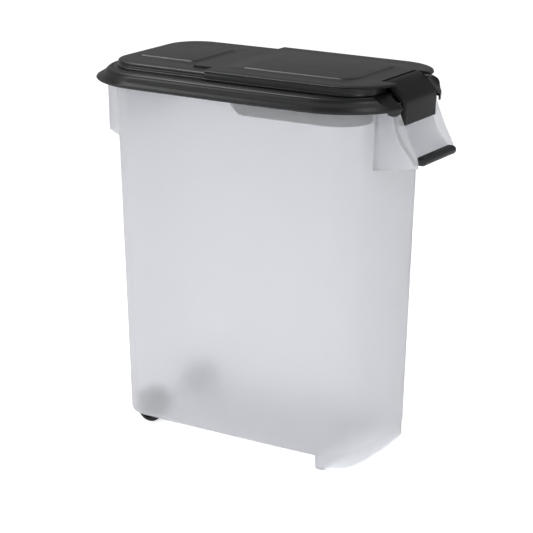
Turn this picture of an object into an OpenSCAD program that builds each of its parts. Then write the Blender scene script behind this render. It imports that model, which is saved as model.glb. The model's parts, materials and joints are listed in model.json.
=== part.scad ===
// Rolling pet food bin: translucent tub, dark lid with a hinged flap, latch and two wheels.
// +X points to the latch and the front handle, +Z up, origin at the middle of the footprint.

/* [Tub] */
// Outside width of the tub at its floor
tub_floor_w = 224; // [216:1:228]
// Outside width of the tub just below the lid
tub_top_w = 241; // [236:1:244]
// Rear end of the floor, measured from the middle
tub_floor_rear = 216; // [212:1:218]
// Front end of the floor, measured from the middle
tub_floor_front = 182; // [178:1:184]
// How far each end leans out from floor to lid
end_draft = 12; // [8:1:13]
// Corner radius of the tub in plan
tub_corner_r = 41; // [36:1:44]
// Wall thickness of the tub
wall = 3; // [2.6:0.2:3.4]
// Height of the tub floor's underside above the ground
floor_z = 22; // [20:1:24]
// Rear edge of the moulded foot, measured from the middle
foot_rear = 138; // [132:1:142]

/* [Lid] */
// Overall height of the bin
total_h = 589.3; // [589:0.1:590]
// Overall width, across the lid rim
rim_w = 284.5; // [283:0.5:285]
// Rear end of the lid rim, without its lip
rim_rear = 276; // [274:1:277]
// Front end of the lid rim, at its corners
rim_front = 240; // [238:1:242]
// Height of the rim's lower edge
rim_z = 552; // [551:0.5:553]
// Height of the ledge around the raised cover
ledge_z = 572.5; // [572:0.5:573]
// Width of the raised cover and flap
cover_w = 234; // [230:1:236]
// Rear end of the raised cover
cover_rear = 238; // [234:1:240]
// Front end of the flap
cover_front = 230; // [228:1:232]
// Thickness of the lid mouldings
skin = 2.8; // [2.4:0.2:3]

/* [Hinges] */
// Distance of the flap hinge behind the middle
hinge_back = 62; // [60:1:64]
// Height of the flap hinge axis
hinge_z = 581.5; // [581:0.5:582]
// Half width of the flap's hinge tongue
tongue_half = 90.6; // [90:0.2:91]
// Distance of the latch pin in front of the middle
latch_x = 211; // [210:0.5:212]
// Height of the latch pin
latch_z = 582; // [581.5:0.5:582]
// Half width of the latch
latch_half = 50; // [48:1:51]
// Height of the latch's lower edge
latch_low = 527; // [524:1:530]

/* [Wheels] */
// Wheel radius
wheel_r = 24; // [23:0.5:24.5]
// Wheel width
wheel_w = 24; // [20:1:26]
// Distance of the wheel axle behind the middle
wheel_back = 188; // [186:1:188]
// Distance from the middle to each wheel's centre
wheel_side = 66; // [62:1:68]
// Axle radius
axle_r = 3; // [2.5:0.1:3.5]

/* [Handle] */
// Front face of the grip, measured from the middle
grip_front = 282.6; // [282:0.1:283]
// Height of the grip's centre
grip_z = 478; // [476:1:480]
// Half length of the grip
grip_half = 50; // [48:1:51]

/* [Hidden] */

gap = 0.6;              // clearance between lid mouldings that move past each other
running = 0.05;         // radial clearance of a shaft in its bore
rim_corner = 100;       // plan corner radius of the lid rim
cover_corner_rear = 56; // plan corner radius at the rear of the raised cover
cover_corner_front = 68;
lip_out = 6.6;          // how far the rear lip stands out of the rim
cover_z = total_h - 3;  // top of the fixed cover
mouth_z = ledge_z - 7.5;   // where the tub's top edge starts to turn in
hood_top = rim_z - 0.6; // upper edge of both handle hoods
flare_z = 547;          // where the tub wall starts to flare out under the lid
arm_in = tongue_half + 0.7;       // inner face of the hinge arms
arm_r = 9.8;            // rounded front of each hinge arm
trough_r = 27.5;        // clear radius that the flap's tongue swings in
stub_r = 3;             // flap hinge stub
well_gap = 2.5;         // clearance around a wheel in its well
axle_end = wheel_w / 2 + well_gap + 6; // half length of an axle's blind bore
pin_r = 2;              // latch pin
notch_half = latch_half + 8;      // half width of the gap in the rim behind the latch
notch_x = 222;          // front face of the wall behind the latch
hood_half = 58;         // half width of the front hood, outside
hood_low = 461;         // lower edge of the front hood
rear_hood_x = 262;      // outer face of the rear hood
rear_hood_half = 66;    // half width of the rear hood, outside
rear_hood_low = 466;    // lower edge of the rear hood
hood_slope = 24;        // how much lower that edge is at the tub wall
cheek_x = 270;          // foremost edge of the front hood's cheeks
lip_x = 266;            // foremost edge of the plate, inside the grip
hood_back = 204;        // rear of the space behind the plate, clear of the tub wall
rear_hood_front = 232;  // front of the space inside the rear hood
grip_r = 6.5;           // radius of the grip
panel_rise = 1.3;       // how far the cover and flap panels stand up
hug = 0.4;              // clearance between the guide collars and the tub wall
pivot_len = 9;          // length of each pivot block and its bore
knuckle_r = 5.5;        // radius of the flap's and the latch's hinge knuckles
beyond = 400;           // larger than the bin is wide, for cuts that run right through
collar_low = 528;       // lower edge of the guide collars
bow_centre = 30;        // where along the bin its sides are widest
n_arc = 5;              // segments in a plan corner
n_side = 4;             // segments along a long side
n_end = 2;              // segments along an end

// ---- plan outlines -------------------------------------------------------------------------
// An outline is [rear, front, width, rear corner, front corner, side bow, rear bow, front bow].
function corner(cx, cy, r, start) =
    [for (i = [0:n_arc]) [cx + r * cos(start + 90 * i / n_arc), cy + r * sin(start + 90 * i / n_arc)]];

function between(a, b, n) = [for (i = [1:n - 1]) a + (b - a) * i / n];

function plain(x0, x1, h, r0, r1) = concat(
    corner(x1 - r1, h - r1, r1, 0),
    between([x1 - r1, h], [x0 + r0, h], n_side),
    corner(x0 + r0, h - r0, r0, 90),
    between([x0, h - r0], [x0, r0 - h], n_end),
    corner(x0 + r0, r0 - h, r0, 180),
    between([x0 + r0, -h], [x1 - r1, -h], n_side),
    corner(x1 - r1, r1 - h, r1, 270),
    between([x1, r1 - h], [x1, h - r1], n_end));

function bowed(p, o) =
    let (h = o[2] / 2,
         along = p[0] < bow_centre ? (p[0] - bow_centre) / (o[0] - bow_centre)
                                   : (p[0] - bow_centre) / (o[1] - bow_centre),
         crown = 1 - pow(p[1] / h, 2),
         end = p[0] < bow_centre ? -o[6] : o[7])
    [p[0] + end * crown * pow(along, 2), p[1] * (1 - o[5] / h * pow(along, 2))];

function outline(o) = [for (p = plain(o[0], o[1], o[2] / 2, o[3], o[4])) bowed(p, o)];

function inset(o, t) = [o[0] + t, o[1] - t, o[2] - 2 * t, o[3] - t, o[4] - t, o[5], o[6], o[7]];

function mix(a, b, s) = a + (b - a) * s;

// Solid skinned over a stack of levels, each one [height, outline]
module loft(levels) {
    rings = [for (l = levels) [for (p = outline(l[1])) [p[0], p[1], l[0]]]];
    n = len(rings[0]);
    last = len(rings) - 1;
    sides = [for (k = [0:last - 1], i = [0:n - 1])
        [k * n + i, (k + 1) * n + i, (k + 1) * n + (i + 1) % n, k * n + (i + 1) % n]];
    bottom = [[for (i = [0:n - 1]) i]];
    top = [[for (i = [n - 1:-1:0]) last * n + i]];
    polyhedron(points = [for (r = rings) each r], faces = concat(sides, bottom, top), convexity = 6);
}

module box(low, high) { translate(low) cube(high - low); }

module across(x, z, r, y0, y1, fn = 48) {
    translate([x, y0, z]) rotate([-90, 0, 0]) cylinder(r = r, h = y1 - y0, $fn = fn);
}

// A side profile, points [x, z], extruded to half each side of the middle
module slab(half, points) {
    translate([0, half, 0]) rotate([90, 0, 0]) linear_extrude(2 * half) polygon(points);
}

module both_sides() {
    children();
    mirror([0, 1, 0]) children();
}

// ---- outlines ------------------------------------------------------------------------------
floor_plan = [-tub_floor_rear, tub_floor_front, tub_floor_w, tub_corner_r, tub_corner_r, 3, 4, 9];
top_plan = [-tub_floor_rear - end_draft, tub_floor_front + end_draft, tub_top_w,
            tub_corner_r, tub_corner_r, 3, 4, 9];
rim_plan = [-rim_rear, rim_front, rim_w, rim_corner, rim_corner, 7, 0, 8];
cover_plan = [-cover_rear, cover_front, cover_w, cover_corner_rear, cover_corner_front, 4, 1, 3];

function tub_plan(z) = mix(floor_plan, top_plan, (z - floor_z) / (flare_z - floor_z));

// ---- tub -----------------------------------------------------------------------------------
// Body of the tub, inset by t: t = 0 is the outside and t = wall the inside
module tub_body(t) {
    low = floor_z + t;
    loft([
        [low, inset(tub_plan(low), t + 5)],
        [low + 1.5, inset(tub_plan(low), t + 1.6)],
        [low + 5, inset(tub_plan(low), t)],
        [flare_z + t, inset(tub_plan(flare_z), t)],
        [flare_z + t + 5, inset(rim_plan, t + skin + gap)],
        [mouth_z, inset(rim_plan, t + skin + gap)],
        [mouth_z + 3 + t, inset(rim_plan, t + skin + gap + (t > 0 ? 0 : 2.6))]]);
}

// Foot moulded at the front: the floor steps down to the ground
module foot(t) {
    plan = inset(floor_plan, 1.3 + t);
    intersection() {
        loft([[t, inset(plan, 3)], [t + 1.2, inset(plan, 0.9)], [t + 4, plan], [floor_z + 13, plan]]);
        slab(beyond, [[foot_rear + 8 + t, -1], [foot_rear + 5 + t, t + 3], [foot_rear + t, floor_z + 14],
            [230, floor_z + 14], [230, -1]]);
    }
}

// Hood of the front handle, open underneath: a plate that slopes out between two cheeks
cheek_edge = [[239.6, hood_top], [240, 544], [248, 530], [257, 510], [268, 487], [cheek_x, grip_z]];
plate_edge = [[224, hood_top], [232, 544], [235, 524], [246, 502], [263, 484], [lip_x, grip_z - 4]];

function shifted(points, dx, dz) = [for (p = points) [p[0] + dx, p[1] + dz]];

module front_hood() {
    slab(hood_half, concat([[190, hood_top]], cheek_edge, [[cheek_x, hood_low + 8], [190, hood_low - 4]]));
}

module front_hood_cuts() {
    // in front of the plate, between the cheeks
    slab(hood_half - wall, concat(plate_edge, [[lip_x, 400], [beyond, 400], [beyond, hood_top + 1]]));
    // behind the plate
    slab(hood_half - wall, concat([[hood_back, hood_top - wall]], shifted(plate_edge, -wall, -wall),
        [[lip_x - wall, 400], [hood_back, 400]]));
    // below the plate, where the grip wraps its lip
    slab(hood_half - wall, [[250, 400], [beyond, 400], [beyond, grip_z - 4], [250, grip_z - 4]]);
}

// Hood of the rear handle, open underneath
module rear_hood() {
    slab(rear_hood_half, [[-210, rear_hood_low - hood_slope], [-rear_hood_x, rear_hood_low],
        [-rear_hood_x - 2, hood_top], [-210, hood_top]]);
}

module rear_hood_cuts() {
    slab(rear_hood_half - wall, [[-rear_hood_front, 400], [-rear_hood_x + wall, 400],
        [-rear_hood_x - 2 + wall, hood_top - wall], [-rear_hood_front, hood_top - wall]]);
}

// Upright box from the height low up to the wheel's axis, with a round top of radius r
module arch(y, r, half, low) {
    across(-wheel_back, wheel_r, r, y - half, y + half, 64);
    box([-wheel_back - r, y - half, low], [-wheel_back + r, y + half, wheel_r]);
}

// Wheel well: t = 0 is the space for the wheel and t = wall the outside of its walls
module well(y, t, low) {
    arch(y, wheel_r + well_gap + t, wheel_w / 2 + well_gap + t, low);
}

// Space for the latch in the tub's top edge, with walls of thickness t round it
module mouth_notch(t, low) {
    box([notch_x - 4 - t, -notch_half - 3.5 - t, low], [beyond, notch_half + 3.5 + t, 600]);
}

module tub() color([0.80, 0.84, 0.87, 0.55]) {
    difference() {
        union() {
            difference() {
                union() {
                    tub_body(0);
                    foot(0);
                    front_hood();
                    rear_hood();
                }
                tub_body(wall);
                foot(wall);
                front_hood_cuts();
                rear_hood_cuts();
                mouth_notch(0, hood_top);
            }
            // walls behind the latch close the mouth where the rim is cut away
            intersection() {
                tub_body(0);
                difference() {
                    intersection() {
                        mouth_notch(wall, flare_z + 1);
                        box([0, -beyond, 0], [beyond, beyond, mouth_z]);
                    }
                    mouth_notch(0, hood_top - wall);
                }
            }
            intersection() {
                tub_body(0.5);
                for (y = [-wheel_side, wheel_side]) {
                    well(y, wall, floor_z);
                    arch(y, axle_r + 4, axle_end + 1, floor_z);
                }
            }
        }
        for (y = [-wheel_side, wheel_side]) {
            well(y, 0, -1);
            across(-wheel_back, wheel_r, axle_r, y - axle_end, y + axle_end);
        }
    }
}

// ---- wheels --------------------------------------------------------------------------------
module wheel(y) {
    hub_r = 9;
    h = wheel_w / 2;
    // half of the section, from the bore round the dished face to the tread
    half = [[axle_r + running, h], [hub_r, h], [hub_r, h - 3], [wheel_r - 7, h - 3],
            [wheel_r - 6, h], [wheel_r - 2, h], [wheel_r, h - 2]];
    translate([-wheel_back, y, wheel_r]) rotate([90, 0, 0]) rotate_extrude($fn = 72)
        polygon(concat(half, [for (i = [len(half) - 1:-1:0]) [half[i][0], -half[i][1]]]));
}

module axle(y) {
    half = axle_end - 0.2;
    color([0.72, 0.73, 0.75]) across(-wheel_back, wheel_r, axle_r, y - half, y + half);
}

module wheel_left() color([0.09, 0.09, 0.10]) wheel(wheel_side);
module wheel_right() color([0.09, 0.09, 0.10]) wheel(-wheel_side);
module axle_left() axle(wheel_side);
module axle_right() axle(-wheel_side);

// ---- front grip ----------------------------------------------------------------------------
// Bar with rounded ends that wraps the lower lip of the hood's plate
module handle_grip() color([0.07, 0.07, 0.08]) {
    difference() {
        hull() for (y = [-grip_half, grip_half], x = [grip_front - 3 * grip_r, grip_front - grip_r])
            translate([x, y, grip_z]) sphere(r = grip_r, $fn = 24);
        box([240, -hood_half, grip_z - 4.1], [lip_x + 0.1, hood_half, 520]);
        both_sides() box([240, hood_half - wall - 0.1, 440], [cheek_x + 0.1, hood_half + 1, 520]);
    }
}

// ---- lid frame -----------------------------------------------------------------------------
// Rim and ledge, inset by t
module rim_body() {
    loft([
        [rim_z, rim_plan],
        [ledge_z - 7, inset(rim_plan, 0.5)],
        [ledge_z - 3.5, inset(rim_plan, 1.6)],
        [ledge_z - 1.5, inset(rim_plan, 4)],
        [ledge_z, inset(cover_plan, -2)]]);
}

// Space inside the rim, which fits over the tub's top edge
module rim_inside() {
    loft([
        [rim_z - 1, inset(rim_plan, skin)],
        [mouth_z + 1, inset(rim_plan, skin)],
        [ledge_z - skin - 1.2, inset(rim_plan, skin + 1.4)],
        [ledge_z - skin, inset(rim_plan, skin + 3.4)]]);
}

// Raised cover, inset by t
module cover_body(t, top) {
    loft([
        [ledge_z - 6, inset(cover_plan, t - 1.5)],
        [ledge_z + 1, inset(cover_plan, t - 1.5)],
        [top - t - 3, inset(cover_plan, t)],
        [top - t - 0.9, inset(cover_plan, t + 1)],
        [top - t, inset(cover_plan, t + 3.5)]]);
}

cover_panel = [-rim_rear + 54, -hinge_back - trough_r - 14, 124, 18, 12, 4, 1, 0];
flap_panel = [-22, 175, 150, 14, 26, 2, 0, 0];

// Low panel with sloped borders, its top at z
module panel(plan, z) {
    loft([[z - 3, plan], [z - panel_rise, plan], [z, inset(plan, 3)]]);
}

// Where the fixed cover is: the rear third and the two hinge arms
module cover_zone(t) {
    box([-300, -200, 540], [-hinge_back - trough_r + 1 - t, 200, 600]);
    both_sides() {
        box([-300, arm_in + t, 540], [-hinge_back - t, 200, 600]);
        across(-hinge_back, hinge_z, arm_r - t, arm_in + t, 200);
    }
}

// Rear lip low on the rim, blended into the sides
module rear_lip() {
    lip = [-rim_rear - lip_out, rim_front, rim_w + 4, rim_corner + 8, rim_corner, 12, 0, 0];
    intersection() {
        loft([[rim_z, inset(lip, 1.5)], [rim_z + 1.5, lip], [rim_z + 3, lip], [rim_z + 6, inset(lip, 5)]]);
        box([-300, -142, 540], [-190, 142, 600]);
    }
}

neck_plan = [-hinge_back + 12, 190, 2 * tongue_half - 4, 12, 45, 3, 0, 1];

module neck(t, z0, z1) { loft([[z0, inset(neck_plan, t)], [z1, inset(neck_plan, t)]]); }

// Guide collars that hug the inside of the tub's long walls and front corners
module collars() {
    difference() {
        intersection() {
            loft([[collar_low, inset(tub_plan(collar_low), wall + hug)],
                  [flare_z + 2, inset(tub_plan(flare_z), wall + hug)],
                  [ledge_z - 1, inset(tub_plan(flare_z), wall + hug)]]);
            slab(beyond, [[-24, 580], [-20, 545], [-8, 537], [0, 530], [10, collar_low],
                [210, collar_low], [210, 580]]);
        }
        loft([[collar_low - 1, inset(tub_plan(collar_low), wall + hug + skin)],
              [flare_z + 20, inset(tub_plan(flare_z), wall + hug + skin)]]);
        box([100, -hood_half, 500], [beyond, hood_half, 600]);
    }
}

// Rounded lobe at each side of the gap in the rim
module rim_ears() {
    low = rim_z - 7;
    intersection() {
        difference() {
            loft([[low, rim_plan], [rim_z + 1, rim_plan]]);
            loft([[low - 1, inset(rim_plan, skin)], [rim_z + 2, inset(rim_plan, skin)]]);
        }
        both_sides() translate([200, notch_half + 11, rim_z + 4]) rotate([0, 90, 0])
            cylinder(r = 11, h = 60, $fn = 48);
    }
}

module lid_frame() color([0.17, 0.17, 0.19]) {
    difference() {
        union() {
            difference() {
                union() {
                    rim_body();
                    rear_lip();
                    rim_ears();
                    intersection() {
                        cover_body(0, cover_z - panel_rise);
                        cover_zone(0);
                    }
                    panel(cover_panel, cover_z);
                }
                rim_inside();
                intersection() {
                    cover_body(skin, cover_z - panel_rise);
                    cover_zone(skin);
                }
                neck(skin, 500, 600);
                box([notch_x, -notch_half, 500], [beyond, notch_half, 600]);
            }
            difference() {
                neck(0, 560, ledge_z + 6);
                neck(skin, 550, 600);
            }
            intersection() {
                box([notch_x - skin, -notch_half - skin, rim_z + 2],
                    [notch_x, notch_half + skin, ledge_z - 1]);
                rim_body();
            }
            // trough below the tongue
            difference() {
                across(-hinge_back, hinge_z, trough_r + skin, -arm_in - 3, arm_in + 3, 64);
                box([-200, -200, ledge_z - 1], [200, 200, 700]);
                box([-hinge_back + 14, -200, 500], [200, 200, 700]);
            }
            // side walls and pivot blocks of the hinge arms
            both_sides() intersection() {
                cover_body(0, cover_z - panel_rise);
                union() {
                    box([-hinge_back - trough_r - 2, arm_in, 560], [-hinge_back, arm_in + skin, 600]);
                    box([-hinge_back - 12, arm_in, 560], [-hinge_back, arm_in + pivot_len, 600]);
                    across(-hinge_back, hinge_z, arm_r, arm_in, arm_in + pivot_len);
                }
            }
            collars();
        }
        across(-hinge_back, hinge_z, trough_r, -arm_in, arm_in, 64);
        both_sides() across(-hinge_back, hinge_z, stub_r + running, arm_in - 1, arm_in + pivot_len - 1);
        neck(skin, 500, 700);
    }
}

// ---- flap ----------------------------------------------------------------------------------
module flap_zone(t) {
    box([-hinge_back - t, -200, 540], [300, 200, 600]);
    box([-hinge_back - trough_r + 2.2 + t, -tongue_half + t, 540], [0, tongue_half - t, 600]);
}

module latch_notch(t) {
    box([latch_x - 6.5 - t, -latch_half - gap - t, 540], [300, latch_half + gap + t, 600]);
}

module flap() color([0.19, 0.19, 0.21]) {
    low = ledge_z + 0.9;
    top = total_h - panel_rise;
    difference() {
        union() {
            difference() {
                intersection() {
                    cover_body(0, top);
                    flap_zone(0);
                }
                intersection() {
                    cover_body(skin, top);
                    flap_zone(skin);
                }
            }
            panel(flap_panel, total_h);
            // walls of the latch notch
            intersection() {
                cover_body(0, top);
                latch_notch(skin);
            }
            // seal channel
            difference() {
                intersection() {
                    loft([[ledge_z + 8.8, inset(neck_plan, -3.5)], [top, inset(neck_plan, -3.5)]]);
                    cover_body(0, top);
                }
                loft([[540, inset(neck_plan, -1.8)], [top - skin, inset(neck_plan, -1.8)]]);
            }
            // knuckle at each side of the tongue, blended up into the top
            both_sides() {
                across(-hinge_back, hinge_z, knuckle_r, tongue_half - 6, tongue_half);
                intersection() {
                    box([-hinge_back - knuckle_r, tongue_half - 6, hinge_z],
                        [-hinge_back + knuckle_r, tongue_half, 600]);
                    cover_body(0, top);
                }
            }
        }
        box([-beyond, -beyond, 500], [beyond, beyond, low]);
        latch_notch(0);
        across(latch_x, latch_z, pin_r, -latch_half - 10, latch_half + 10);
        both_sides() {
            across(-hinge_back, hinge_z, arm_r + 1, tongue_half, 200, 64);
            box([-hinge_back - trough_r, tongue_half, 500], [-hinge_back, 200, 700]);
        }
    }
    both_sides() across(-hinge_back, hinge_z, stub_r, tongue_half - 1, arm_in + 7);
}

module flap_seal() color([0.62, 0.63, 0.64]) {
    z0 = ledge_z + 6.4;
    difference() {
        loft([[z0, inset(neck_plan, -1.4)], [z0 + 2.4, inset(neck_plan, -1.8)],
              [total_h - panel_rise - skin - 0.1, inset(neck_plan, -1.8)]]);
        loft([[z0 - 1, inset(neck_plan, skin + 0.4)], [total_h, inset(neck_plan, skin + 0.4)]]);
    }
}

// ---- latch ---------------------------------------------------------------------------------
latch_face = 243.5; // outer face of the latch at its lower edge
latch_top = total_h - 1.2;
latch_edge = [[latch_x, latch_top], [217, latch_top - 0.5], [222, latch_top - 2.8], [227.5, 581.2],
              [235.5, 573.3], [241, 567.4], [243.6, 563], [244.5, 557], [244.2, 545],
              [latch_face, latch_low]];

// Side profile filled from the pin to the outer face, inset by t
module latch_profile(t) {
    difference() {
        polygon(concat(shifted(latch_edge, -t, -t), [[latch_x - t, latch_low - t]]));
        translate([0, latch_low - 50]) square([300, 50]);
        translate([latch_x - 50, latch_low - 50]) square([50, 200]);
    }
}

// Part of that profile between the insets t0 and t1, w wide and ending at the side y
module latch_strip(t0, t1, y, w) {
    translate([0, y, 0]) rotate([90, 0, 0]) linear_extrude(w) difference() {
        latch_profile(t0);
        latch_profile(t1);
    }
}

module latch() color([0.12, 0.12, 0.13]) {
    difference() {
        union() {
            latch_strip(1, 1 + skin, latch_half, 2 * latch_half);
            both_sides() latch_strip(0, 6, latch_half, 3.5);
            across(latch_x, latch_z, knuckle_r + 0.1, -latch_half, latch_half);
            box([latch_x, -latch_half, latch_z + 2], [latch_x + 8, latch_half, total_h - 3]);
            // catch bead low on the inner face
            across(latch_face - skin - 2, latch_low + 18, 2.2, -30, 30);
        }
        across(latch_x, latch_z, pin_r + running, -latch_half - 1, latch_half + 1);
    }
}

module latch_pin() color([0.72, 0.73, 0.75])
    across(latch_x, latch_z, pin_r, -latch_half - gap - skin, latch_half + gap + skin);

tub();
handle_grip();
lid_frame();
flap();
flap_seal();
latch();
latch_pin();
wheel_left();
wheel_right();
axle_left();
axle_right();
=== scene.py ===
import json
import math

import bmesh
import bpy
from mathutils import Matrix, Vector


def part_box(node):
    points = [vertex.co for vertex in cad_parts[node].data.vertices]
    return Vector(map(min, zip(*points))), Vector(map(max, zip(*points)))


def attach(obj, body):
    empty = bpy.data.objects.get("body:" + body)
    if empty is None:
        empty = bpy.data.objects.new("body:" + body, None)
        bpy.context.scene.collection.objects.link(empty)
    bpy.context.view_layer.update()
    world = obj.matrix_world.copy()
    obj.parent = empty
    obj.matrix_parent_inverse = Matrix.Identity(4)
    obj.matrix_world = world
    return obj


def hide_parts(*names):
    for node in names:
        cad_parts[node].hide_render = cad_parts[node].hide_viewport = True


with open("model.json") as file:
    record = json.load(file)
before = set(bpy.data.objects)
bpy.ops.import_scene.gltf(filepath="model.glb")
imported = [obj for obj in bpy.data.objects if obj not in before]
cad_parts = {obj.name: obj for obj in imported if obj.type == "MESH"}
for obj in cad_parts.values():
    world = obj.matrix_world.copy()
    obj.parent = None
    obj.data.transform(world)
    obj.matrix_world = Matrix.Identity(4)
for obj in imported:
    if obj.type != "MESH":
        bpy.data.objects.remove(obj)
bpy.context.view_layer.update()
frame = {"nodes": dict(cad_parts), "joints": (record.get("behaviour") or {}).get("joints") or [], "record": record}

MM = 0.001
STUDIO = 0.30         # light from all round; the camera sees a white backdrop
FLOOR_GLOW = 0.49     # and from the floor, which also shows white


# ---- camera and stage ----------------------------------------------------------------------
def camera():
    azimuth, elevation, roll = math.radians(31.97), math.radians(15.99), math.radians(0.15)
    back = Vector((math.sin(azimuth) * math.cos(elevation),
                   -math.cos(azimuth) * math.cos(elevation), math.sin(elevation)))
    right = Vector((math.cos(azimuth), math.sin(azimuth), 0))
    up = back.cross(right)
    right, up = (right * math.cos(roll) + up * math.sin(roll),
                 up * math.cos(roll) - right * math.sin(roll))
    place = Vector((-0.0223, 0, 0.300)) + back * 2.931
    ahead = (-back + right * 0.00174 - up * 0.01157).normalized()
    right = ahead.cross(up).normalized()
    up = right.cross(ahead)
    turn = Matrix((right, up, -ahead)).transposed().to_4x4()
    data = bpy.data.cameras.new("camera")
    data.lens, data.sensor_width = 128.5, 36
    data.clip_start, data.clip_end = 0.1, 50
    holder = bpy.data.objects.new("camera", data)
    holder.matrix_world = Matrix.Translation(place) @ turn
    bpy.context.scene.collection.objects.link(holder)
    bpy.context.scene.camera = holder


def whiter_if_seen(tree, lit, seen, socket):
    """Brightness that a backdrop lends to the scene, and the one it shows when looked at."""
    level = tree.nodes.new("ShaderNodeMapRange")
    level.inputs["To Min"].default_value = lit
    level.inputs["To Max"].default_value = seen
    path = tree.nodes.new("ShaderNodeLightPath")
    tree.links.new(path.outputs["Is Camera Ray"], level.inputs["Value"])
    tree.links.new(level.outputs["Result"], socket)


def stage():
    mesh = bpy.data.meshes.new("floor")
    mesh.from_pydata([(-6, -6, 0), (6, -6, 0), (6, 6, 0), (-6, 6, 0)], [], [(0, 1, 2, 3)])
    floor = bpy.data.objects.new("floor", mesh)
    bpy.context.scene.collection.objects.link(floor)
    material = bpy.data.materials.new("floor")
    material.use_nodes = True
    surface = material.node_tree.nodes["Principled BSDF"]
    surface.inputs["Base Color"].default_value = (0.92, 0.92, 0.92, 1)
    surface.inputs["Roughness"].default_value = 0.9
    surface.inputs["Emission Color"].default_value = (1, 1, 1, 1)
    whiter_if_seen(material.node_tree, FLOOR_GLOW, 0.75, surface.inputs["Emission Strength"])
    mesh.materials.append(material)
    world = bpy.data.worlds.new("studio")
    world.use_nodes = True
    backdrop = world.node_tree.nodes["Background"]
    backdrop.inputs["Color"].default_value = (1, 1, 1, 1)
    whiter_if_seen(world.node_tree, STUDIO, 1, backdrop.inputs["Strength"])
    bpy.context.scene.world = world
    bpy.context.scene.view_settings.view_transform = "Standard"


def softbox(name, place, aim, size, power):
    data = bpy.data.lights.new(name, "AREA")
    data.shape, data.size, data.size_y, data.energy = "RECTANGLE", size[0], size[1], power
    lamp = bpy.data.objects.new(name, data)
    lamp.location = place
    lamp.rotation_euler = (Vector(aim) - Vector(place)).to_track_quat("-Z", "Y").to_euler()
    bpy.context.scene.collection.objects.link(lamp)


camera()
stage()
middle = (0, 0, 0.35)
softbox("key", (-1.9, -1.9, 1.5), middle, (1.0, 1.6), 26)
softbox("fill", (2.2, -1.2, 1.4), middle, (1.2, 1.6), 18)
softbox("top", (-1.25, 0.35, 2.4), middle, (1.0, 1.0), 19)


# ---- materials -----------------------------------------------------------------------------
def material(name, colour, roughness, **sockets):
    made = bpy.data.materials.new(name)
    made.use_nodes = True
    surface = made.node_tree.nodes["Principled BSDF"]
    surface.inputs["Base Color"].default_value = (*colour, 1)
    surface.inputs["Roughness"].default_value = roughness
    for socket, value in sockets.items():
        surface.inputs[socket.replace("_", " ")].default_value = value
    return made


def moulded(name, colour, roughness, grain, mottle, depth=0.1, **sockets):
    """Moulded plastic: fine grain in the surface, and slow changes of tone and gloss."""
    made = material(name, colour, roughness, **sockets)
    nodes, links = made.node_tree.nodes, made.node_tree.links
    surface = nodes["Principled BSDF"]
    place = nodes.new("ShaderNodeTexCoord").outputs["Object"]

    def noise(scale, detail):
        texture = nodes.new("ShaderNodeTexNoise")
        texture.inputs["Scale"].default_value = scale
        texture.inputs["Detail"].default_value = detail
        links.new(place, texture.inputs["Vector"])
        return texture.outputs["Fac"]

    def ranged(value, low, high):
        remap = nodes.new("ShaderNodeMapRange")
        remap.inputs["To Min"].default_value = low
        remap.inputs["To Max"].default_value = high
        links.new(value, remap.inputs["Value"])
        return remap.outputs["Result"]

    slow = noise(9, 3)
    tone = nodes.new("ShaderNodeMix")
    tone.data_type = "RGBA"
    tone.inputs["A"].default_value = (*[c * (1 - mottle) for c in colour], 1)
    tone.inputs["B"].default_value = (*[min(1, c * (1 + mottle)) for c in colour], 1)
    links.new(slow, tone.inputs["Factor"])
    links.new(tone.outputs["Result"], surface.inputs["Base Color"])
    links.new(ranged(noise(40, 4), roughness - 0.04, roughness + 0.04), surface.inputs["Roughness"])
    bump = nodes.new("ShaderNodeBump")
    bump.inputs["Strength"].default_value = depth
    bump.inputs["Distance"].default_value = 0.0002
    links.new(noise(grain, 2), bump.inputs["Height"])
    links.new(bump.outputs["Normal"], surface.inputs["Normal"])
    return made


MATERIALS = {
    "tub": moulded("tub", (0.905, 0.913, 0.94), 0.42, 420, 0.015, 0.12,
                   Transmission_Weight=0.76, IOR=1.22),
    "lid": moulded("lid", (0.0105, 0.011, 0.012), 0.35, 1400, 0.12, 0.3, Specular_IOR_Level=0.35),
    "latch": moulded("latch", (0.014, 0.0145, 0.0155), 0.42, 1400, 0.12, 0.3, Specular_IOR_Level=0.14),
    "grip": moulded("grip", (0.026, 0.029, 0.032), 0.5, 1200, 0.12, 0.3, Specular_IOR_Level=0.25),
    "wheel": moulded("wheel", (0.008, 0.008, 0.009), 0.5, 900, 0.12, 0.3, Specular_IOR_Level=0.3),
    "seal": moulded("seal", (0.3, 0.31, 0.32), 0.6, 900, 0.05, 0.2),
    "steel": moulded("steel", (0.6, 0.6, 0.62), 0.3, 300, 0.05, 0.1, Metallic=1),
}

for entry in frame["record"]["subparts"]:
    mesh = frame["nodes"][entry["node"]].data
    mesh.materials.clear()
    mesh.materials.append(MATERIALS[entry["material_slot"]])


# ---- shapes --------------------------------------------------------------------------------
# A plan is (rear, front, width, rear corner, front corner, side bow, rear bow, front bow), in mm.
BOW_CENTRE = 30


def inset(plan, t):
    rear, front, width, r_rear, r_front, *bows = plan
    return (rear + t, front - t, width - 2 * t, r_rear - t, r_front - t, *bows)


def blend(a, b, s):
    return tuple(x + (y - x) * s for x, y in zip(a, b))


def bowed(x, y, plan):
    rear, front, width, _, _, side, rear_bow, front_bow = plan
    half = width / 2
    end = rear if x < BOW_CENTRE else front
    along = ((x - BOW_CENTRE) / (end - BOW_CENTRE)) ** 2
    push = -rear_bow if x < BOW_CENTRE else front_bow
    return x + push * (1 - (y / half) ** 2) * along, y * (1 - side / half * along)


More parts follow.
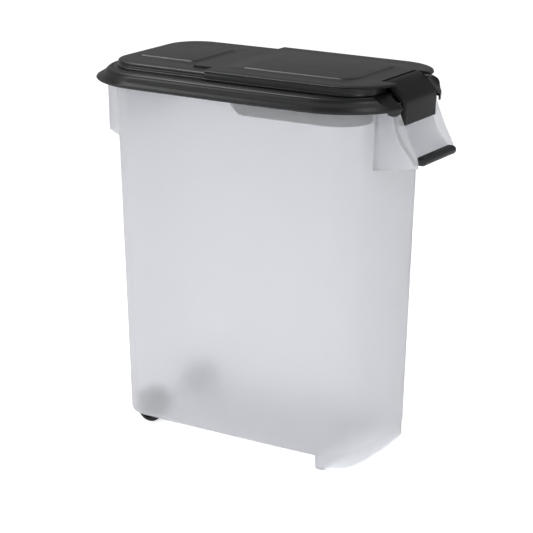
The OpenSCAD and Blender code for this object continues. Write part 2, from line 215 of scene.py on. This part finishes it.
def outline(plan, arc=20, side=48, end=20):
    rear, front, width, r_rear, r_front = plan[:5]
    half = width / 2
    corners = [(front - r_front, half - r_front, r_front, 0), (rear + r_rear, half - r_rear, r_rear, 90),
               (rear + r_rear, r_rear - half, r_rear, 180), (front - r_front, r_front - half, r_front, 270)]
    points = []
    for k, (cx, cy, r, start) in enumerate(corners):
        for i in range(arc + 1):
            angle = math.radians(start + 90 * i / arc)
            points.append((cx + r * math.cos(angle), cy + r * math.sin(angle)))
        ncx, ncy, nr, nstart = corners[(k + 1) % 4]
        angle = math.radians(nstart)
        goal = (ncx + nr * math.cos(angle), ncy + nr * math.sin(angle))
        here = points[-1]
        steps = end if k % 2 else side
        for i in range(1, steps):
            points.append((here[0] + (goal[0] - here[0]) * i / steps,
                           here[1] + (goal[1] - here[1]) * i / steps))
    return [bowed(x, y, plan) for x, y in points]


def piece(name, bm):
    mesh = bpy.data.meshes.new(name)
    bmesh.ops.recalc_face_normals(bm, faces=bm.faces)
    bm.to_mesh(mesh)
    bm.free()
    made = bpy.data.objects.new(name, mesh)
    bpy.context.scene.collection.objects.link(made)
    return made


def skinned(name, rings):
    """Closed solid over rings of points in mm."""
    bm = bmesh.new()
    rows = [[bm.verts.new([v * MM for v in point]) for point in ring] for ring in rings]
    for low, high in zip(rows, rows[1:]):
        for i in range(len(low)):
            j = (i + 1) % len(low)
            bm.faces.new((low[i], low[j], high[j], high[i]))
    bm.faces.new(rows[0][::-1])
    bm.faces.new(rows[-1])
    return piece(name, bm)


def loft(levels):
    """Closed solid skinned over (height, plan) levels."""
    return skinned("loft", [[(x, y, height) for x, y in outline(plan)] for height, plan in levels])


def stack(plan, *levels):
    """Loft of one plan, inset by t at each height of its (height, t) levels."""
    return loft([(height, inset(plan, t)) for height, t in levels])


def smooth(s):
    return 3 * s * s - 2 * s ** 3


def circle(steps):
    turns = [2 * math.pi * i / steps for i in range(steps)]
    return [(math.cos(a), math.sin(a)) for a in turns]


def turned_edge(low, high, out, into, steps=8, crown=True):
    """Heights and insets round a quarter bend: crown turns inward at its top, else at its bottom."""
    bend = []
    for i in range(steps + 1):
        a = math.pi / 2 * i / steps
        if crown:
            bend.append((low + (high - low) * math.sin(a), out + (into - out) * (1 - math.cos(a))))
        else:
            bend.append((high - (high - low) * math.cos(a), into + (out - into) * math.sin(a)))
    return bend


def box(low, high):
    bm = bmesh.new()
    bmesh.ops.create_cube(bm, size=1)
    for v in bm.verts:
        v.co = Vector([(low[k] + (high[k] - low[k]) * (v.co[k] + 0.5)) * MM for k in range(3)])
    return piece("box", bm)


def drum(x, z, r, y0, y1, steps=96):
    """Cylinder across the bin, along Y."""
    return prism([(x + r * c, z + r * s) for c, s in circle(steps)], y0, y1)


def prism(points, y0, y1):
    """Side profile of (x, z) points, drawn out along Y."""
    return skinned("prism", [[(x, y, z) for x, z in points] for y in (y0, y1)])


def combine(base, operation, *others):
    for other in others:
        step = base.modifiers.new("combine", "BOOLEAN")
        step.operation, step.object, step.solver = operation, other, "MANIFOLD"
    settle(base)
    for other in others:
        bpy.data.objects.remove(other)
    return base


def join(base, *others):
    return combine(base, "UNION", *others)


def cut(base, *others):
    return combine(base, "DIFFERENCE", *others)


def within(base, other):
    return combine(base, "INTERSECT", other)


def settle(thing):
    """Bakes a thing's modifiers into its mesh."""
    graph = bpy.context.evaluated_depsgraph_get()
    mesh = bpy.data.meshes.new_from_object(thing.evaluated_get(graph))
    thing.modifiers.clear()
    thing.data = mesh


def mirrored(thing):
    bm = bmesh.new()
    bm.from_mesh(thing.data)
    for v in bm.verts:
        v.co.y = -v.co.y
    bmesh.ops.reverse_faces(bm, faces=bm.faces)
    return piece("mirrored", bm)


def copy(thing):
    bm = bmesh.new()
    bm.from_mesh(thing.data)
    return piece("copy", bm)


def finish_piece(thing, name, body, material_slot, *nodes, edge=0.5):
    """Softens the cut edges, smooths the shading and hands the piece to the frame."""
    thing.name = name
    bm = bmesh.new()
    bm.from_mesh(thing.data)
    bmesh.ops.remove_doubles(bm, verts=bm.verts, dist=1e-6)
    bmesh.ops.dissolve_degenerate(bm, edges=bm.edges, dist=1e-6)
    bmesh.ops.dissolve_limit(bm, angle_limit=math.radians(0.5), verts=bm.verts, edges=bm.edges)
    bm.to_mesh(thing.data)
    bm.free()
    bevel = thing.modifiers.new("edges", "BEVEL")
    bevel.width, bevel.segments, bevel.limit_method = edge * MM, 2, "ANGLE"
    bevel.angle_limit = math.radians(32)
    bevel.harden_normals = True
    thing.data.shade_smooth()
    thing.data.materials.clear()
    thing.data.materials.append(MATERIALS[material_slot])
    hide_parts(*nodes)
    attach(thing, body)


# ---- sizes, in mm --------------------------------------------------------------------------
def corners_mm(node):
    low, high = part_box(node)
    return [v / MM for v in low], [v / MM for v in high]


lid_low, lid_high = corners_mm("lid_frame")
_, flap_high = corners_mm("flap")
_, tub_high = corners_mm("tub")
grip_low, grip_high = corners_mm("handle_grip")
latch_low, latch_high = corners_mm("latch")
joints = {j["name"]: j for j in frame["joints"]}
hinge_x, _, hinge_z = [v / MM for v in joints["flap_hinge"]["pos_m"]]
latch_x, _, latch_z = [v / MM for v in joints["latch_hinge"]["pos_m"]]
wheel_x, wheel_y, wheel_z = [v / MM for v in joints["wheel_left_spin"]["pos_m"]]

SKIN = 2.8            # thickness of the lid mouldings
WALL = 3              # thickness of the tub
RIM_Z = 552           # lower edge of the lid rim in the CAD model; it reaches 2 lower here
LEDGE_Z = RIM_Z + 20.5
COVER_Z = lid_high[2]
TOP_Z = flap_high[2]
FLOOR_Z, FLARE_Z = 22, 547
RIM = (-276, 240, 284.5, 100, 100, 7, 0, 8)
REAR_LEAN = 15.5      # how far the rim's rear end leans in over its height
COVER = (-238, 230, 234, 56, 68, 4, 1, 3)
FLOOR = (-216, 182, 224, 41, 41, 3, 4, 9)
THROAT = (-228, 194, 241, 41, 41, 3, 4, 9)
NECK = (-50, 190, 177.2, 12, 45, 3, 0, 1)
TONGUE = 90.6         # half width of the flap's tongue
ARM = TONGUE + 0.7    # inner face of the hinge arms
ARM_R = 9.8
TROUGH_R = 27.5       # trough that the tongue swings in
NOTCH = latch_high[1] + 8   # half width of the notch that the latch hangs in
NOTCH_X = 222         # and its rear
TUB_GAP = 3.5         # how far the tub stays clear of it at each side
UNDER, OVER = 480, 620    # heights below and above what the lid's cutters go through
ASIDE, AHEAD = 200, 320   # further out than anything, to the side and along the bin


def tub_plan(z):
    return blend(FLOOR, THROAT, (z - FLOOR_Z) / (FLARE_Z - FLOOR_Z))


def both(thing):
    return [thing, mirrored(thing)]


# ---- lid frame -----------------------------------------------------------------------------
def raised(plan, base_z, top_z, edge, shoulder):
    """Levels of a raised body: a lip at its foot, a full side, a groove and a broad rounded top."""
    side = [(0, -1.3), (1.9, -1.3), (2.5, -1.7), (3.5, -1.6),
            (4.4, -0.3), (6.5, -0.3), (9, -0.5), (11.5, -0.2)]
    top = top_z - edge
    levels = [(base_z + z, t) for z, t in side if z < top - base_z - 3]
    levels += [(top - 2.2, 0.1), (top - 1.4, 1.1), (top - 0.8, 1.1)]
    levels += turned_edge(top, top_z, 0.5, shoulder + 0.5, 14)
    return [(z, inset(plan, t)) for z, t in levels]


def panel(plan, low, high):
    """Low plateau with sloped, rounded borders, the front one longer."""
    steps, slope, front_slope = 8, 4.6, 4
    levels = [(low - 1.5, plan)]
    for s in [i / steps for i in range(steps + 1)]:
        rear, front, *rest = inset(plan, slope * s)
        levels.append((low + (high - low) * smooth(s), (rear, front - front_slope * s, *rest)))
    return loft(levels)


def slope_block(drop, half=110):
    """Space above the rim beside the latch, where it falls away to a lobe: drop lowers its floor."""
    steep, reach = 0.8, 16.5
    soft = 3
    level_from, back_up = 80, 24
    roof_z = 720
    _, front, width, _, corner, *_ = RIM
    centre = front - corner, width / 2 - corner

    def floor(x, y):
        inward = corner - math.hypot(x - centre[0], max(0, abs(y) - centre[1]))
        fall = steep * (reach - inward)
        fall = fall if fall > soft else soft * math.exp((fall - soft) / soft)
        rise = back_up * max(0, (abs(y) - level_from) / 26) ** 2
        return LEDGE_Z + 0.4 - fall + rise - drop

    xs = range(190, 271, 2)
    ys = range(-half, half + 1, 2)
    bm = bmesh.new()
    grid = [[bm.verts.new((x * MM, y * MM, floor(x, y) * MM)) for y in ys] for x in xs]
    roof = [[bm.verts.new((x * MM, y * MM, roof_z * MM)) for y in ys] for x in xs]
    for i in range(len(xs) - 1):
        for j in range(len(ys) - 1):
            bm.faces.new((grid[i][j], grid[i][j + 1], grid[i + 1][j + 1], grid[i + 1][j]))
            bm.faces.new((roof[i][j], roof[i + 1][j], roof[i + 1][j + 1], roof[i][j + 1]))
    for j in range(len(ys) - 1):
        for i in (0, len(xs) - 1):
            bm.faces.new((grid[i][j], grid[i][j + 1], roof[i][j + 1], roof[i][j]))
    for i in range(len(xs) - 1):
        for j in (0, len(ys) - 1):
            bm.faces.new((grid[i][j], grid[i + 1][j], roof[i + 1][j], roof[i][j]))
    return piece("slope", bm)


def rim_level(t, z):
    """Rim outline at a height, inset by t; its rear end leans in as it rises."""
    rear, *rest = inset(RIM, t)
    risen = min(1, max(0, (z - RIM_Z - 2) / 18))
    return (rear + REAR_LEAN * risen ** 0.85, *rest)


def rim_levels(*levels):
    return [(z, rim_level(t, z)) for z, t in levels]


def rim_solid():
    low = RIM_Z - 2
    levels = rim_levels((low, 1.0), (low + 0.5, 0.3), (low + 1.2, 0), (RIM_Z + 3, 0), (RIM_Z + 4.6, 0.7),
                        (RIM_Z + 7, 1.5), (RIM_Z + 9.5, 1.6), (RIM_Z + 13, 1.3),
                        *turned_edge(RIM_Z + 13, LEDGE_Z - 1, 1.3, 6.4)[1:], (LEDGE_Z - 2.2, 6.6),
                        (LEDGE_Z - 2.2, 7.6), (LEDGE_Z - 0.4, 8.4), (LEDGE_Z, 9.4))
    return cut(loft(levels + [(LEDGE_Z, inset(COVER, -1))]), slope_block(0))


def rim_space():
    space = loft(rim_levels((RIM_Z - 4, SKIN), (RIM_Z + 2, SKIN), (RIM_Z + 5, SKIN + 0.6),
                            (RIM_Z + 9, SKIN + 1), (RIM_Z + 13, SKIN + 1.3), (LEDGE_Z - SKIN - 3, SKIN + 3),
                            (LEDGE_Z - SKIN - 0.8, SKIN + 6)))
    return cut(space, slope_block(SKIN * 1.25))


def rear_lip():
    lip = (lid_low[0] - 4, 240, 288.5, 108, 100, 12, 0, 0)
    thing = stack(lip, (RIM_Z - 2, 1.8), (RIM_Z - 1.2, 0.6), (RIM_Z, 0), (RIM_Z + 1.4, 0.8),
                  (RIM_Z + 3, 4), (RIM_Z + 6, 8.5))
    return within(thing, box((-300, -142, 500), (-190, 142, 600)))


def cover_zone(t):
    """Where the fixed cover is: behind the flap, with an arm at each side up to the hinge."""
    behind = box((-AHEAD, -ASIDE, 540), (hinge_x - TROUGH_R + 1 - t, ASIDE, OVER))
    arm = box((-AHEAD, ARM + t, 540), (hinge_x - t, ASIDE, OVER))
    end = drum(hinge_x, hinge_z, ARM_R - t, ARM + t, ASIDE)
    return join(behind, *both(arm), *both(end))


def rim_ears():
    """Rounded lobe that hangs from the rim at each side of the latch."""
    low = RIM_Z - 9
    shell = cut(stack(RIM, (low, 1.5), (low + 3, 0.4), (RIM_Z + 2, 0)),
                stack(RIM, (low - 1, SKIN + 1), (RIM_Z + 3, SKIN)))
    y, z, r = NOTCH + 12, RIM_Z + 4, 12.5
    lobe = skinned("lobe", [[(x, y + r * c, z + r * s) for c, s in circle(64)] for x in (200, 260)])
    return within(shell, join(*both(lobe)))


def collars():
    """Guide skirt inside the tub's mouth, from a slope at each side forward to the front hood."""
    low = lid_low[2]
    hug = WALL + 0.5
    wall = tub_plan(FLARE_Z)

    def sleeve(t, bottom, top):
        return loft([(bottom, inset(tub_plan(low), t)), (FLARE_Z, inset(wall, t)), (top, inset(wall, t))])

    start, end = (-24, low + 30), (12, low)
    steps = 16
    curve = [(start[0] + (end[0] - start[0]) * s, start[1] + (end[1] - start[1]) * smooth(s))
             for s in [i / steps for i in range(steps + 1)]]
    shape = [(start[0], 580)] + curve + [(210, low), (210, 580)]
    ring = cut(sleeve(hug, low, LEDGE_Z - 1), sleeve(hug + SKIN, low - 1, LEDGE_Z + 8),
               box((100, -HOOD_HALF, 480), (300, HOOD_HALF, 620)))
    return within(ring, prism(shape, -ASIDE, ASIDE))


def make_lid():
    cover = raised(inset(COVER, 1.8), LEDGE_Z - 1, COVER_Z - 1.6, 3.4, 13)
    solid = within(loft(cover), cover_zone(0))
    raised_panel = (-222, hinge_x - TROUGH_R - 14, 124, 18, 12, 4, 1, 0)
    solid = join(solid, panel(raised_panel, COVER_Z - 2, COVER_Z))
    roof = COVER_Z - SKIN
    space = within(stack(COVER, (LEDGE_Z - 9, SKIN + 2), (roof - 5, SKIN + 2), (roof - 2.2, 14),
                         (roof - 1.3, 22)), cover_zone(SKIN))
    rim = rim_solid()
    behind_latch = within(box((NOTCH_X - SKIN, -NOTCH - SKIN, RIM_Z + 2),
                              (NOTCH_X, NOTCH + SKIN, LEDGE_Z - 1)), copy(rim))
    flank = within(box((NOTCH_X - SKIN, NOTCH, RIM_Z), (250, NOTCH + SKIN, 600)), copy(rim))
    lid = join(rim, rear_lip(), rim_ears(), solid)
    lid = cut(lid, rim_space(), space)
    lid = cut(lid, stack(NECK, (UNDER, SKIN), (OVER, SKIN)),
              box((NOTCH_X, -NOTCH, 500), (300, NOTCH, 600)),
              box((NOTCH_X, -NOTCH - 0.6, 500), (300, NOTCH + 0.6, RIM_Z)))
    neck = cut(stack(NECK, (560, 0), (LEDGE_Z + 6, 0)), stack(NECK, (550, SKIN), (600, SKIN)))
    trough = cut(drum(hinge_x, hinge_z, TROUGH_R + SKIN, -ARM - 3, ARM + 3),
                 box((-ASIDE, -ASIDE, LEDGE_Z - 1), (ASIDE, ASIDE, 700)),
                 box((hinge_x + 14, -ASIDE, 500), (ASIDE, ASIDE, 700)))
    arm = join(box((hinge_x - TROUGH_R - 2, ARM, 560), (hinge_x, ARM + SKIN, 600)),
               box((hinge_x - 12, ARM, 560), (hinge_x, ARM + 9, 600)),
               drum(hinge_x, hinge_z, ARM_R, ARM, ARM + 9))
    arms = within(join(*both(arm)), loft(cover))
    lid = join(lid, neck, behind_latch, *both(flank), trough, arms, collars())
    bore = drum(hinge_x, hinge_z, 3.05, ARM - 1, ARM + 8)
    lid = cut(lid, drum(hinge_x, hinge_z, TROUGH_R, -ARM, ARM), *both(bore),
              stack(NECK, (UNDER, SKIN), (OVER, SKIN)))
    # small moulded pocket over each pivot
    pocket = box((hinge_x + 1, ARM + 3, COVER_Z - 3.4), (hinge_x + 4.5, ARM + 6.5, COVER_Z + 2))
    lid = cut(lid, *both(pocket))
    finish_piece(lid, "lid_shell", "lid", "lid", "lid_frame")


# ---- flap ----------------------------------------------------------------------------------
def flap_zone(t):
    """Where the flap is: ahead of the hinge, with a tongue that runs back over it."""
    return join(box((hinge_x - t, -ASIDE, 540), (AHEAD, ASIDE, OVER)),
                box((hinge_x - TROUGH_R + 2.2 + t, -TONGUE + t, 540), (0, TONGUE - t, OVER)))


def latch_gap(t):
    side = latch_high[1] + 0.6 + t
    return box((latch_x - 6.5 - t, -side, 540), (AHEAD, side, OVER))


def make_flap():
    low = LEDGE_Z + 0.9
    top = TOP_Z - 1.7
    roof = top - SKIN
    rear, _, width, r_rear, _, *bows = COVER
    body = (rear, latch_x, width, r_rear, 40, *bows)
    brow = 583.5      # the front overhangs above this height
    profile = raised(COVER, low - 1.8, top, 2.4, 10)
    crown = [(brow, COVER)] + [(z, plan) for z, plan in profile if z > brow]
    side = [(z, (*body[:2], plan[2], plan[3], body[4] - (r_rear - plan[3]), *bows))
            for z, plan in profile if z < brow]
    outer = join(loft(crown), loft(side + [(brow + 1, body)]))
    space = stack(body, (LEDGE_Z - 8, SKIN), (roof - 3.5, SKIN), (roof - 1, SKIN + 5), (roof, SKIN + 12))
    flap = cut(within(copy(outer), flap_zone(0)), within(space, flap_zone(SKIN)))
    raised_panel = (-22, 175, 150, 14, 26, 2, 0, 0)
    flap = join(flap, panel(raised_panel, top - 0.3, TOP_Z), within(latch_gap(SKIN), copy(outer)))
    channel = cut(within(stack(NECK, (LEDGE_Z + 8.8, -3.5), (TOP_Z - 3, -3.5)), copy(outer)),
                  stack(NECK, (540, -1.8), (TOP_Z - SKIN - 1.5, -1.8)))
    root = box((hinge_x - 5.5, TONGUE - 6, hinge_z), (hinge_x + 5.5, TONGUE, 600))
    knuckle = join(drum(hinge_x, hinge_z, 5.5, TONGUE - 6, TONGUE), within(root, copy(outer)))
    flap = join(flap, channel, *both(knuckle))
    clear = drum(hinge_x, hinge_z, ARM_R + 1, TONGUE, ASIDE)
    beside = box((hinge_x - TROUGH_R, TONGUE, 500), (hinge_x, ASIDE, 700))
    pin_hole = drum(latch_x, latch_z, 2, -latch_high[1] - 10, latch_high[1] + 10)
    flap = cut(flap, box((-AHEAD, -ASIDE, UNDER), (AHEAD, ASIDE, low)), latch_gap(0), *both(clear),
               *both(beside), pin_hole)
    stub = drum(hinge_x, hinge_z, 3, TONGUE - 1, ARM + 7)
    flap = join(flap, *both(stub))
    bpy.data.objects.remove(outer)
    finish_piece(flap, "flap_shell", "flap", "lid", "flap")


# ---- latch ---------------------------------------------------------------------------------
def latch_line(t, rounds=3):
    """Outer line of the latch from its top edge to its lower edge, t inside its face."""
    top, face, low = latch_high[2], latch_high[0], latch_low[2]
    points = [(latch_x, top), (217, top - 0.5), (222, top - 2.8), (227.5, top - 6.9),
              (235.5, top - 14.8), (241, top - 20.7), (face - 0.9, top - 25.1), (face, top - 31.1),
              (face - 0.3, top - 43.1), (face - 1, low)]
    for _ in range(rounds):
        cuts = []
        for here, there in zip(points, points[1:]):
            cuts += [blend(here, there, 0.25), blend(here, there, 0.75)]
        points = [points[0]] + cuts[1:-1] + [points[-1]]
    line = []
    for i, (x, z) in enumerate(points):
        (x0, z0), (x1, z1) = points[max(0, i - 1)], points[min(len(points) - 1, i + 1)]
        size = math.hypot(x1 - x0, z1 - z0)
        line.append((x + t * (z1 - z0) / size, z - t * (x1 - x0) / size))
    return line


def latch_body(half, depth):
    """Latch plate across the bin, its side edges rounded over."""
    steps, edge, deep = 10, 5, 4.2
    quarter = [math.pi / 2 * i / steps for i in range(steps + 1)]
    side = [(half - edge + edge * math.sin(a), deep * (1 - math.cos(a))) for a in quarter]
    across = [(-y, out) for y, out in reversed(side)] + side
    back = latch_line(depth)[::-1]
    return skinned("latch body", [[(x, y, z) for x, z in latch_line(out) + back] for y, out in across])


def make_latch():
    half = latch_high[1]
    body = latch_body(half, 7.4)
    hollow = prism(latch_line(SKIN) + latch_line(14)[::-1], -half + SKIN + 1, half - SKIN - 1)
    spine = join(drum(latch_x, latch_z, 5.6, -half, half),
                 box((latch_x, -half, latch_z + 2), (latch_x + 8, half, latch_high[2] - 4)))
    bead = drum(latch_high[0] - SKIN - 2, latch_low[2] + 18, 2.2, -30, 30)
    latch = join(cut(body, hollow), spine, bead)
    latch = cut(latch, drum(latch_x, latch_z, 2.05, -half - 1, half + 1))
    finish_piece(latch, "latch_tongue", "latch", "latch", "latch", edge=0.6)


# ---- tub -----------------------------------------------------------------------------------
def tub_solid(t):
    """Tub filled in, t inside its outer face."""
    low, radius = FLOOR_Z + t, 7 - t
    wall, lip = inset(tub_plan(FLARE_Z), t), inset(RIM, t + SKIN + 0.6)
    flare, mouth = FLARE_Z + t, t + SKIN + 0.8
    levels = [(z, inset(tub_plan(z), t + out))
              for z, out in turned_edge(low, low + radius, 0, radius, crown=False)]
    levels += [(flare - 2, wall), (flare, blend(wall, lip, 0.12)), (flare + 4, blend(wall, lip, 0.88))]
    levels += rim_levels((flare + 6, mouth), (RIM_Z + 5, mouth + 0.7), (RIM_Z + 9, mouth + 1.1),
                         (LEDGE_Z - 8, mouth + 1.4),
                         (tub_high[2] + (1 if t else 0), mouth + (1.8 if t else 5.5)))
    return loft(levels)


def foot(t):
    """Step under the front of the tub, t inside its outer face."""
    plan, top = inset(FLOOR, 1 + t), FLOOR_Z + 13
    shape = stack(plan, *turned_edge(t, t + 6, 0, 6, crown=False), (top, 0))
    rear, r, steps = 138 + t, 8, 8
    bend = [(rear + r * (1 - math.cos(a)), t + r * (1 - math.sin(a)))
            for a in [math.pi / 2 * i / steps for i in range(steps + 1)]]
    return within(shape, prism([(rear, top + 1)] + bend + [(240, t), (240, top + 1)], -ASIDE, ASIDE))


HOOD_TOP = RIM_Z - 0.6
HOOD_LOW = 461
HOOD_HALF = 58
GRIP_Z = (grip_low[2] + grip_high[2]) / 2
CHEEK = [(239.6, HOOD_TOP), (240, 544), (243.5, 536), (248, 526), (254, 512), (262, 497), (268, 486),
         (270, GRIP_Z)]
PLATE = [(224, HOOD_TOP), (229.5, 547), (233, 540), (234.6, 530), (237, 519), (243, 506), (251, 496),
         (259, 488), (264.5, 482), (266, GRIP_Z - 4)]
REAR_HOOD_X = 262
REAR_HOOD_HALF = 66
WELL_HALF = 14.5


def slab(half, points):
    return prism(points, -half, half)


def hoods():
    """Handle hoods under the rim at both ends, as full blocks."""
    front = slab(HOOD_HALF, [(190, HOOD_TOP)] + CHEEK + [(270, HOOD_LOW + 8), (190, HOOD_LOW - 4)])
    rear = slab(REAR_HOOD_HALF, [(-210, 442), (-REAR_HOOD_X, 466), (-REAR_HOOD_X - 2, HOOD_TOP),
                                 (-210, HOOD_TOP)])
    return front, rear


def hood_cuts():
    """What the hoods leave open: ahead of the plate, behind it, under the grip and in the rear."""
    half, top = HOOD_HALF - WALL, HOOD_TOP - WALL
    behind = [(x - WALL, z - WALL) for x, z in PLATE]
    rear = WALL - REAR_HOOD_X
    return (slab(half, PLATE + [(266, 440), (300, 440), (300, HOOD_TOP + 1)]),
            slab(half, [(204, top)] + behind + [(263, 440), (204, 440)]),
            slab(half, [(250, 400), (300, 400), (300, GRIP_Z - 4), (250, GRIP_Z - 4)]),
            slab(REAR_HOOD_HALF - WALL, [(-232, 400), (rear, 400), (rear - 2, top), (-232, top)]))


def arch(y, r, half, low):
    """Drum round the wheels' axis with a block under it."""
    return join(drum(wheel_x, wheel_z, r, y - half, y + half),
                box((wheel_x - r, y - half, low), (wheel_x + r, y + half, wheel_z)))


def well(y, t, low):
    return arch(y, wheel_z + 2.5 + t, WELL_HALF + t, low)


def boss(y):
    """Block beside a wheel well that holds the ends of its axle."""
    return arch(y, 7, WELL_HALF + 7, FLOOR_Z)


def make_tub():
    gap = NOTCH + TUB_GAP
    rear = NOTCH_X - 4
    tub = join(tub_solid(0), foot(0), *hoods())
    tub = cut(tub, tub_solid(WALL), foot(WALL), *hood_cuts(), slope_block(SKIN * 1.25 + 1, 104),
              box((rear, -gap, HOOD_TOP), (300, gap, 600)))
    mouth = cut(box((rear - WALL, -gap - WALL, FLARE_Z + 1), (300, gap + WALL, LEDGE_Z - 7.5)),
                box((rear, -gap, HOOD_TOP - 3), (301, gap, 600)), slope_block(SKIN * 1.25 + 1, 104))
    tub = join(tub, within(mouth, tub_solid(0)))
    for y in (-wheel_y, wheel_y):
        tub = join(tub, within(join(well(y, WALL, FLOOR_Z), boss(y)), tub_solid(0.5)))
    for y in (-wheel_y, wheel_y):
        tub = cut(tub, well(y, 0, -1), drum(wheel_x, wheel_z, 3, y - 20.5, y + 20.5))
    finish_piece(tub, "tub_shell", "tub", "tub", "tub", edge=0.9)


def make_grip():
    """Bar with round ends, cut away where the hood's cheeks and plate go into it."""
    r = (grip_high[2] - grip_low[2]) / 2
    front, rear, half = grip_high[0] - 4 - r, grip_low[0] + r, grip_high[1] - 4 - r
    steps = 24
    rings = []
    for k in range(steps + 1):
        a = math.pi * k / steps
        y = -math.cos(a) * r + (-half if k < steps / 2 else half)
        size = math.sin(a) * r
        rings.append([((front if c > 0 else rear) + size * c, y, GRIP_Z + size * s) for c, s in circle(48)])
    side = HOOD_HALF - WALL - 0.1
    slot = box((262, side, 440), (270.1, side + 4, 520))
    seat = box((240, -HOOD_HALF, GRIP_Z - 4.1), (266.1, HOOD_HALF, 520))
    grip = cut(skinned("grip", rings), seat, *both(slot))
    finish_piece(grip, "grip_bar", "tub", "grip", "handle_grip")


make_lid()
make_flap()
make_latch()
make_tub()
make_grip()
